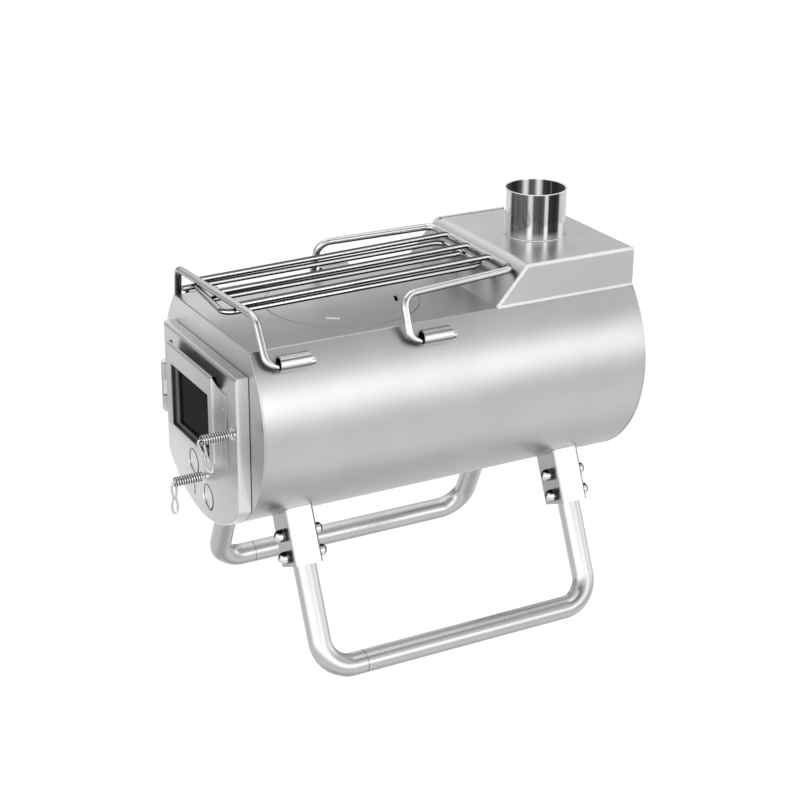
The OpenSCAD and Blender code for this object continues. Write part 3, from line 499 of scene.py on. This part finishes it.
# %% Damper disc
AIR_HOLES = ((DAMPER[0] - 29.2, DAMPER[1] + 3), (DAMPER[0] + 4, DAMPER[1] - 20.4))
disc_sheet = steel("disc steel, painted shade round the holes", 0.72, 0.32, 0.38, 1600, 0.2)
disc = disc_sheet.node_tree
lit_patches = []
for x, z in AIR_HOLES:
    from_patch = vector(disc, "DISTANCE", coordinates(disc), at(x - 6.2, -11, z - 2.6))["Value"]
    lit_patches.append(rise(disc, from_patch, 12.6 * MM, 11.6 * MM, 0.02))
# Outside the painted lit patches the disc is painted nearly black as shade.
disc_tone = compute(disc, "MULTIPLY", compute(disc, "MAXIMUM", *lit_patches), 0.95)
feed(disc, disc.nodes["Principled BSDF"], {"Base Color": grey(disc, disc_tone)})
print("air holes shaded:", len(lit_patches))

# %% [markdown]
# ## Finish every CAD piece first
# Each CAD solid gets the steel of the real piece. The ones that a closer piece replaces later still get it, so nothing
# on the stove is ever left bare.

# %% Finishes by piece
finishes = {
    satin_sheet: ["body_shell", "rear_plate", "top_lid", "lid_ledge_ring"],
    box_sheet: ["smoke_box"],
    plate_sheet: ["front_plate"],
    door_sheet: ["door_pan", "window_frame", "door_hinge_leaf", "body_hinge_leaf", "latch_cam"],
    disc_sheet: ["damper_disc"],
    leg_tube: ["leg_right_front", "leg_right_rear", "leg_left_front", "leg_left_rear"],
    collar_painted_steel: ["chimney_collar"],
    socket_pipe: ["socket_front_right", "socket_rear_right", "socket_front_left", "socket_rear_left"],
    arch_wire: ["rack_front_arch", "rack_rear_arch"],
    bar_wire: ["rack_bars", "rack_middle_rail"],
    ring_wire: ["rack_ring"],
    bright_wire: ["latch_handle", "latch_spring", "damper_handle", "damper_spring", "hinge_pin"],
    bracket_sheet: ["bracket_front_right", "bracket_rear_right", "bracket_front_left", "bracket_rear_left"],
    bolt_steel: ["latch_bush", "damper_bush", "leg_bolts_right", "leg_nuts_right", "leg_bolts_left",
                 "leg_nuts_left"],
    inner_steel: ["smoke_baffle", "grate_rails", "fire_grate", "window_retainer"],
    stove_glass: ["window_glass"],
}
for finish, names in finishes.items():
    for name in names:
        nodes[name].data.materials.clear()
        nodes[name].data.materials.append(finish)
print("dressed:", sum(len(names) for names in finishes.values()), "of", len(nodes))

# %% [markdown]
# ## Helpers for new pieces
# Most pieces below start as a curve or a primitive, take their shape from Blender's own operators, and end as a plain
# mesh whose place is baked into its points. One helper gives each its name, its finish and the body it moves with.

# %% Helpers for pieces


def clear_selection():
    """Nothing selected, and object mode."""
    if bpy.context.object and bpy.context.object.mode != "OBJECT":
        bpy.ops.object.mode_set(mode="OBJECT")
    bpy.ops.object.select_all(action="DESELECT")


def bake_place():
    """Moves the selected piece's place, turn and scale into its points."""
    bpy.ops.object.transform_apply(location=True, rotation=True, scale=True)


def settle(name, material, body, stands_for=(), smooth=35, flat=False):
    """Names the selected piece, bakes its place, dresses it and lets it ride on its body. flat keeps the big faces
    evenly shaded up to their rounds."""
    piece = bpy.context.object
    bake_place()
    bpy.ops.object.shade_smooth_by_angle(angle=math.radians(smooth))
    if flat:
        even = piece.modifiers.new("even flats", "WEIGHTED_NORMAL")
        even.keep_sharp = True
        bpy.ops.object.modifier_apply(modifier="even flats")
    piece.name = piece.data.name = name
    piece.data.materials.clear()
    piece.data.materials.append(material)
    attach(piece, body)
    if stands_for:
        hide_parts(*stands_for)
    clear_selection()
    return piece


def join_with(pieces):
    """Joins several objects into the first one."""
    clear_selection()
    for piece in pieces:
        piece.select_set(True)
    bpy.context.view_layer.objects.active = pieces[0]
    bpy.ops.object.join()
    return bpy.context.object


def round_edges(width, segments, angle=30):
    """Rounds the selected piece's sharp edges, with a width in mm."""
    bevel = bpy.context.object.modifiers.new("round edges", "BEVEL")
    bevel.width, bevel.segments = width * MM, segments
    bevel.limit_method, bevel.angle_limit = "ANGLE", math.radians(angle)
    bpy.ops.object.modifier_apply(modifier="round edges")


def copied(node):
    """A copy of a CAD node as a clean mesh, still selected."""
    clear_selection()
    piece = nodes[node].copy()
    piece.data = nodes[node].data.copy()
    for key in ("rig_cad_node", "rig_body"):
        del piece[key]
    bpy.context.scene.collection.objects.link(piece)
    piece.parent = None
    piece.select_set(True)
    bpy.context.view_layer.objects.active = piece
    bpy.ops.object.mode_set(mode="EDIT")
    bpy.ops.mesh.select_all(action="SELECT")
    bpy.ops.mesh.remove_doubles(threshold=0.00001)
    bpy.ops.mesh.dissolve_limited(angle_limit=math.radians(0.4))
    bpy.ops.object.mode_set(mode="OBJECT")
    return piece


print("helpers for pieces ready")

# %% [markdown]
# ## Folds in the sheet
# Sheet steel never ends in a perfect corner: a fold has a radius and a cut edge is broken with a file. Those small
# rounds catch the light and draw every outline in the photograph. Each folded piece is therefore a copy of its CAD
# solid. The edges in its folds are picked by their place and bevelled wide, and all other sharp edges finely. The door
# is a deep pan, so its fold runs all round its face, except at the latch's spindle hole.

# %% Door fold
FOLD_STEPS, HAIR = 7, 0.05
DOOR_FACE_Y, FRAME_FACE_Y, FRAME_HALF, BRACKET_HALF = -12.5, -22.5, 52.0, 14.0


def folded(node, on_fold, radius, fine=0.35):
    """A copy of a CAD node whose folds are rounded wide and whose cut edges are broken finely, still selected."""
    piece = copied(node)
    bpy.ops.object.mode_set(mode="EDIT")
    bpy.ops.mesh.select_mode(type="EDGE")
    bpy.ops.mesh.select_all(action="DESELECT")
    bpy.ops.object.mode_set(mode="OBJECT")
    spots = [v.co.copy() for v in piece.data.vertices]
    for edge in piece.data.edges:
        edge.select = on_fold(*(spots[i] for i in edge.vertices))
    print(node, "edges in the fold:", sum(edge.select for edge in piece.data.edges))
    bpy.ops.object.mode_set(mode="EDIT")
    bpy.ops.mesh.bevel(offset=radius * MM, segments=FOLD_STEPS, affect="EDGES", clamp_overlap=False)
    bpy.ops.object.mode_set(mode="OBJECT")
    round_edges(fine, 2, 40)


def on_door_rim(point):
    """Whether a point of the door lies on the outer edge of its face."""
    x, y, z = point.x / MM, point.y / MM - FRONT_PLATE_Y, point.z / MM - AXIS_HEIGHT
    at_spindle = math.hypot(x - LATCH[0], z - LATCH[1]) < 6
    far_out = abs(x) > 70 or z > 52.5 or math.hypot(x, z) > DRUM_RADIUS - 0.5
    return abs(y - DOOR_FACE_Y) < HAIR and far_out and not at_spindle


folded("door_pan", lambda a, b: on_door_rim(a) and on_door_rim(b), 3.4)
settle("door-pan-folded", door_sheet, "door", ["door_pan"], flat=True)

# %% [markdown]
# ## Window frame and leg brackets
# The window frame is folded back only at its left and right. Each leg bracket is a channel round the leg, and its two
# folds run down along the leg. They are found as the edges that lie furthest out from the stove, one at each end of
# the bracket's width.

# %% Frame and bracket folds


def on_frame_side(a, b):
    """Whether an edge lies where the window frame's face turns back into a side."""
    return all(abs(p.y - at(0, FRAME_FACE_Y, 0).y) < HAIR * MM and abs(abs(p.x) - FRAME_HALF * MM) < HAIR * MM
               for p in (a, b))


folded("window_frame", on_frame_side, 2.6, 0.3)
settle("window-frame-folded", door_sheet, "door", ["window_frame"], flat=True)

for word, side in (("right", 1), ("left", -1)):
    outward = Vector((side * math.cos(SPLAY), 0, math.sin(SPLAY)))
    for row, y in zip(("front", "rear"), BRACKET_ROWS):
        node = "bracket_" + row + "_" + word
        reach = max(v.co.dot(outward) for v in nodes[node].data.vertices)
        middle = at(0, y, 0).y
        folded(node, lambda a, b: all(p.dot(outward) > reach - HAIR * MM for p in (a, b)) and
               abs(a.y - b.y) < HAIR * MM and abs(abs(a.y - middle) - BRACKET_HALF * MM) < 2 * HAIR * MM, 2.8)
        settle(node.replace("_", "-") + "-folded", bracket_sheet, "stove_body", [node], flat=True)

# %% [markdown]
# ## Soft edges elsewhere
# The other sheet pieces have no single fold that stands out, so a Bevel modifier rounds every sharp edge of a copy by
# the same small width.

# %% Soft edges
soft_edges = [
    ("body_shell", 1.2, 3, satin_sheet, "stove_body", "satin_steel"),
    ("smoke_box", 1.6, 4, box_sheet, "stove_body", "satin_steel"),
    ("window_retainer", 0.4, 2, inner_steel, "door", "inner_steel"),
    ("chimney_collar", 0.45, 2, collar_painted_steel, "stove_body", "polished_steel"),
    ("latch_cam", 0.4, 2, door_sheet, "latch", "satin_steel"),
]
for node, width, segments, material, body, slot in soft_edges:
    copied(node)
    round_edges(width, segments)
    settle(node.replace("_", "-") + "-edged", material, body, [node], flat=True)
print("softened:", len(soft_edges))

# %% [markdown]
# ## Bent wire
# A wire handle or rack is cut to length and bent round pins, so it is straight between bends of one radius. The route
# is a list of corners with a radius each. A curve follows it with a round section and is then turned into a mesh, which
# keeps the wire's thickness the same through every bend.

# %% Wire
BEND_STEPS = 8


def route(corners, radii):
    """Corners rounded to arcs, as a list of points in the scene."""
    points = [corners[0]]
    for before, corner, after, radius in zip(corners, corners[1:], corners[2:], radii):
        arrive, leave = (corner - before).normalized(), (after - corner).normalized()
        angle = arrive.angle(leave)
        inward = arrive.cross(leave).normalized().cross(arrive)
        start = corner - arrive * radius * math.tan(angle / 2)
        for k in range(BEND_STEPS + 1):
            part = angle * k / BEND_STEPS
            points.append(start + (arrive * math.sin(part) + inward * (1 - math.cos(part))) * radius)
    return points + [corners[-1]]


def wire(points, thickness, resolution=7, swell=None):
    """A round wire along points, as a mesh, still selected. swell(i) makes it thicker or thinner at point i."""
    clear_selection()
    bpy.ops.curve.primitive_bezier_curve_add(location=(0, 0, 0))
    piece = bpy.context.object
    piece.data.splines.clear()
    spline = piece.data.splines.new("POLY")
    spline.points.add(len(points) - 1)
    for i, point in enumerate(points):
        spline.points[i].co = (*point, 1)
        spline.points[i].radius = swell(i) if swell else 1
    piece.data.dimensions = "3D"
    piece.data.bevel_depth = thickness / 2 * MM
    piece.data.bevel_resolution = resolution
    piece.data.use_fill_caps = True
    bpy.ops.object.convert(target="MESH")
    return bpy.context.object


def bent(corners, radii, thickness):
    """A wire through corners given in mm from the front plate."""
    return wire(route([at(*c) for c in corners], [r * MM for r in radii]), thickness)


print("wire helpers ready")

# %% [markdown]
# ## The rack's arches
# Two arches carry the rack, and their feet turn back into the tube sockets on the flanks. The front one is a little out
# of square, as the photograph shows, so its two upper corners have their own places.

# %% Rack arches
ARCH_WIRE = 7.0
low_foot, high_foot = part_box("rack_front_arch")
px, pz = high_foot.x / MM - ARCH_WIRE / 2, low_foot.z / MM - AXIS_HEIGHT + ARCH_WIRE / 2
print("prong centre from CAD:", round(px, 2), round(pz, 2))
bent([(px, 55.5, pz), (px, 10.5, pz), (77.2, 11, 105), (-77.2, 2, 105), (-px, 10.5, pz), (-px, 55.5, pz)],
     [11, 15, 15, 11], ARCH_WIRE)
settle("front-arch-wire", arch_wire, "rack", ["rack_front_arch"])
bent([(px, 197.5, pz), (px, 152, pz), (86.5, 152, 105.3), (76, 273.5, 108.6), (-76, 273.5, 108.6),
      (-86.5, 152, 105.3), (-px, 152, pz), (-px, 197.5, pz)], [11, 13, 11, 11, 13, 11], ARCH_WIRE)
settle("rear-arch-wire", arch_wire, "rack", ["rack_rear_arch"])

# %% [markdown]
# ## Bars, ring and rail
# Three bars lie on the front arch and rise a little to the rear, where their ends turn down over the rear arch. Under
# them hang a ring, which is one wire with one end standing out at the front, and a middle rail.

# %% Rack bars and ring
BAR_WIRE = 5.5
BAR_FRONT_Y, BAR_RUN = 10.26, 259.64


def bar_height(y):
    """The height of the bars at a distance from the front plate."""
    return 104.2 + 6.7 * (y - BAR_FRONT_Y) / BAR_RUN


def ring_height(y):
    """The height of the lower ring and the rail, which sink away from the bars towards the rear."""
    return bar_height(y) - 5.6 - 1.4 * (y - BAR_FRONT_Y) / BAR_RUN


bars = []
for x in (-40, 0, 40):
    front = BAR_FRONT_Y + 0.0583 * x
    bars.append(wire([at(x, front, bar_height(front)), at(x, 266.9, bar_height(266.9)), at(x, 269.3, 110.1),
                      at(x, 269.9, 108.9)], BAR_WIRE))
join_with(bars)
settle("rack-bar-wires", bar_wire, "rack", ["rack_bars"])
ring_corners = [(-40, -9), (-40, 263), (40, 263), (40, -2.5), (-36.65, 3.5)]
bent([(x, y, ring_height(y)) for x, y in ring_corners], [10, 10, 10], BAR_WIRE)
settle("rack-ring-wire", ring_wire, "rack", ["rack_ring"])
bent([(0, y, ring_height(y)) for y in (3.56, 100, 260.15)], [400], BAR_WIRE)
settle("rack-rail-wire", bar_wire, "rack", ["rack_middle_rail"])
print("bars:", len(bars), "rising from", bar_height(BAR_FRONT_Y), "to", round(bar_height(266.9), 1), "mm")

# %% [markdown]
# ## Coiled grips
# A coiled grip is a spring pushed over the handle's rod: it stays cool because air passes between its curls. A circle
# is set beside the axis and the Screw modifier sweeps it round and along at once, which is how a spring is wound. It is
# wound upwards and then turned to face the front.

# %% Springs
GRIP_START = -14.0
CURLS, PITCH, GRIP_WIRE, GRIP_RADIUS = 12, 2.35, 1.6, 3.95


def facing_front(piece, place, turn_round=0):
    """Turns a piece made upwards so that it faces the front, at its place."""
    piece.matrix_world = Matrix.Translation(place) @ Matrix.Rotation(math.radians(90), 4, "X") @ Matrix.Rotation(
        turn_round, 4, "Z")
    return piece


def coiled_grip(x, z, name, body, stands_for):
    """A spring round the rod that leaves the door at (x, z)."""
    clear_selection()
    bpy.ops.mesh.primitive_circle_add(vertices=14, radius=GRIP_WIRE / 2 * MM, location=(GRIP_RADIUS * MM, 0, 0),
                                      rotation=(math.radians(90), 0, 0))
    bake_place()
    piece = bpy.context.object
    screw = piece.modifiers.new("wind", "SCREW")
    screw.axis, screw.angle = "Z", math.radians(360)
    screw.screw_offset, screw.iterations = PITCH * MM, CURLS
    screw.steps = screw.render_steps = 22
    bpy.ops.object.modifier_apply(modifier="wind")
    bpy.ops.object.mode_set(mode="EDIT")
    bpy.ops.mesh.select_all(action="SELECT")
    bpy.ops.mesh.remove_doubles(threshold=0.000001)
    bpy.ops.mesh.select_all(action="DESELECT")
    bpy.ops.mesh.select_non_manifold()
    bpy.ops.mesh.edge_face_add()
    bpy.ops.mesh.select_all(action="SELECT")
    bpy.ops.mesh.normals_make_consistent(inside=False)
    bpy.ops.object.mode_set(mode="OBJECT")
    facing_front(piece, at(x, GRIP_START - GRIP_WIRE, z))
    settle(name, coil_wire, body, stands_for, smooth=60)
    print(name, "curls:", CURLS)


coiled_grip(*LATCH, "latch-coil", "latch", ["latch_spring"])
coiled_grip(*DAMPER, "damper-coil", "damper", ["damper_spring"])

# %% [markdown]
# ## Handle rods
# One wire makes each handle. It leaves the door inside the coil, turns down at the end, and comes back up as a loop
# that is pinched at its middle, like a figure of eight. Its shape is a list of places: how far along the rod, and how
# far down from it. The latch's loop is the same loop, turned the way the photograph shows.

# %% Rods and loops
LOOP = [(GRIP_START - 1, 0), (-43, 0), (-45.4, 0.5), (-46.5, 2.0), (-46.7, 4.5), (-46.6, 8), (-46.2, 11),
        (-45.6, 14), (-45.4, 16), (-45.7, 18), (-46.5, 21), (-47.0, 24), (-46.9, 27), (-46.2, 29.6), (-45.2, 31.2),
        (-44.0, 31.7), (-42.9, 31.2), (-42.0, 29.6), (-41.4, 27), (-41.3, 24), (-41.8, 21), (-42.6, 18),
        (-42.9, 16), (-42.7, 14), (-42.2, 11), (-41.9, 8), (-41.9, 5.2)]


def block(sides, radius, low, high):
    """An upright round or six-sided block between two heights in mm."""
    bpy.ops.mesh.primitive_cylinder_add(vertices=sides, radius=radius * MM, depth=(high - low) * MM,
                                        location=(0, 0, (low + high) / 2 * MM))
    bake_place()
    return bpy.context.object


def handle_rod(x, z, lean, name, body, spindle_end, stands_for):
    """The rod, its loop and its spindle. lean turns the loop from hanging down, in degrees."""
    down = Vector((math.sin(math.radians(lean)), 0, -math.cos(math.radians(lean))))
    rod = wire([at(x, y, z) + down * drop * MM for y, drop in LOOP], 2.5)
    clear_selection()
    spindle = block(32, 2.8, -spindle_end, -GRIP_START)
    round_edges(0.3, 2)
    facing_front(spindle, at(x, 0, z))
    join_with([rod, spindle])
    settle(name, bright_wire, body, stands_for, smooth=60)
    print(name, "leans", lean, "degrees")


handle_rod(*LATCH, 50, "latch-rod", "latch", 6.2, ["latch_handle"])
handle_rod(*DAMPER, 0, "damper-rod", "damper", -8.8, ["damper_handle"])

# %% [markdown]
# ## Bolts and cap nuts
# Cap nuts close over the bolt's end so that nobody is scratched by a thread. One cap nut is modelled: a six-sided block
# whose corners are turned down round, under a dome. One domed bolt head is modelled too, on its washer, and both are
# copied along. The nuts sit on the front of each bracket and the heads on its rear, two down each leg arm.

# %% Cap nuts and bolt heads
BOLT_X, BOLT_Z, BOLT_PITCH = 71.935, -114.712, 20.6
BRACKET_OUTSIDE = 14.05


def on_leg(side, y, along):
    """A place on a leg arm, measured down the arm from the upper bolt."""
    return at(side * (BOLT_X + along * math.sin(SPLAY)), y, BOLT_Z - along * math.cos(SPLAY))


def dome(segments, rings, radius, middle, flatness):
    """A ball pressed flatter, with its middle at a height in mm."""
    bpy.ops.mesh.primitive_uv_sphere_add(segments=segments, ring_count=rings, radius=radius * MM,
                                         location=(0, 0, middle * MM))
    bpy.context.object.scale = (1, 1, flatness)
    bake_place()
    return bpy.context.object


def nut_block(place, turn_round):
    """The six-sided part of a cap nut, with its corners turned down."""
    clear_selection()
    nut = block(6, 6.6, 0, 3.6)
    round_edges(1.3, 4)
    return facing_front(nut, place, turn_round)


def bolt_head(place):
    """A tall round head that faces the rear, on a washer, with its bolt running to the nut."""
    clear_selection()
    piece = join_with([block(36, 6.0, -0.45, 0.45), block(36, 5.6, 0.25, 6.25), dome(36, 18, 5.6, 6.25, 0.72),
                       block(32, 3.0, -32.45, -0.45)])
    piece.matrix_world = Matrix.Translation(place) @ Matrix.Rotation(math.radians(-90), 4, "X")
    return piece


for side, word in ((1, "right"), (-1, "left")):
    heads, nuts, domes = [], [], []
    for i, y in enumerate(BRACKET_ROWS):
        for j in range(2):
            front_place = on_leg(side, y - BRACKET_OUTSIDE, j * BOLT_PITCH)
            nuts.append(nut_block(front_place, 0.35 + i * 0.5 + j * 0.9))
            domes.append(facing_front(dome(32, 20, 6.0, 4.4, 0.95), front_place))
            heads.append(bolt_head(on_leg(side, y + BRACKET_OUTSIDE, j * BOLT_PITCH)))
    join_with(nuts)
    settle("nut-blocks-" + word, nut_steel, "stove_body", ["leg_nuts_" + word])
    join_with(domes)
    settle("nut-domes-" + word, dome_steel, "stove_body", ["leg_nuts_" + word], smooth=60)
    join_with(heads)
    settle("bolt-heads-" + word, head_steel, "stove_body", ["leg_bolts_" + word])
    print(word, "leg: bolts", len(heads), "nuts", len(nuts))

# %% [markdown]
# ## Weld beads
# The stove is welded, and the beads show as bright fine lines where a side meets a slope or a tube meets the drum. A
# bead is a row of frozen drops, so each is a thin wire along the joint whose thickness swells and shrinks a little.
# Beside the top beads runs a thin dark strip along the box's top fold: a dark piece put there as painted shade.

# %% Beads
BEAD_STEP = 2.0


def bead(points, thickness):
    """A weld bead along points given in mm from the front plate."""
    fine = []
    for a, b in zip(points, points[1:]):
        a, b = at(*a), at(*b)
        count = max(2, int((b - a).length / MM / BEAD_STEP))
        fine += [a.lerp(b, k / count) for k in range(count)]
    fine.append(at(*points[-1]))
    return wire(fine, thickness, 3, lambda i: 1 + 0.1 * math.sin(i * 2.1) + 0.05 * math.sin(i * 5.3 + 1))


top_half = math.sqrt(DRUM_RADIUS ** 2 - TOP_HEIGHT ** 2)
beads, shade_strips = [], []
for side in (1, -1):
    x, shade_strip_x = side * (top_half - 0.3), side * (top_half - 2.3)
    beads.append(bead([(x, 252.4, 77.0), (x, 284, 112.6), (x, 403.4, 112.6)], 3.6))
    beads.append(bead([(x, 253, 77.0), (x, 403.4, 77.0)], 3.2))
    # A thin dark strip beside each top bead, as painted shade along the fold.
    shade_strips.append(bead([(shade_strip_x, 285.5, 112.9), (shade_strip_x, 403.6, 112.9)], 1.1))
join_with(beads)
settle("smoke-box-beads", fresh_weld, "stove_body", smooth=80)
join_with(shade_strips)
settle("smoke-box-shade-strips", inner_steel, "stove_body", smooth=80)
bead([(30.2 * math.cos(a), COLLAR_Y + 30.2 * math.sin(a), BOX_TOP + 0.2)
      for a in (math.radians(5 * k) for k in range(73))], 1.5)
settle("collar-bead", polished_pipe, "stove_body", smooth=80)
print("beads:", len(beads) + 1, "seams:", len(shade_strips))

# %% [markdown]
# ## The lid's glint strip
# One of the lid's two slots gets a thin bright strip that lies in the slot and stands a little above the lid. It is a
# painted highlight made as a piece: it stands in for the light that the slot catches.

# %% Lid glint strip
SLOT_RADIUS, SLOT_TURN = 51.0, math.radians(-36)
# The strip's bright weld finish stands in for the highlight in the slot.
clear_selection()
bpy.ops.mesh.primitive_cube_add(size=1)
glint_strip = bpy.context.object
glint_strip.scale = (0.7 * MM, 13.6 * MM, 2.5 * MM)
bake_place()
round_edges(0.25, 3)
slot_place = at(SLOT_RADIUS * math.cos(SLOT_TURN), LID_Y + SLOT_RADIUS * math.sin(SLOT_TURN), 76.2)
glint_strip.matrix_world = (Matrix.Translation(slot_place) @ Matrix.Rotation(SLOT_TURN, 4, "Z")
                    @ Matrix.Rotation(math.radians(-60), 4, "Y"))
settle("lid-glint-strip", fresh_weld, "lid")
print("lid lip at", [round(v, 4) for v in slot_place])

# %% [markdown]
# ## Rims of the end plates
# Each end plate is welded to the drum all round and ground smooth. What stays is a fine rounded rim, and its highlight
# is the thin bright line that closes the drum's outline in the picture.

# %% Rims
RIM_INSET, RIM_RADIUS, RIM_STEPS = 0.9, 114.6, 120
flat_start = math.degrees(math.asin(TOP_HEIGHT / DRUM_RADIUS))
rims = []
for y in (RIM_INSET, DRUM_LENGTH - RIM_INSET):
    rim = [at(RIM_RADIUS * math.cos(math.radians(a)), y, RIM_RADIUS * math.sin(math.radians(a)))
           for a in (flat_start - (180 + 2 * flat_start) * k / RIM_STEPS for k in range(RIM_STEPS + 1))]
    rims.append(wire(rim + [rim[0]], 1.8, 3))
join_with(rims)
settle("plate-rims", satin_sheet, "stove_body", smooth=60)
print("rims:", len(rims))
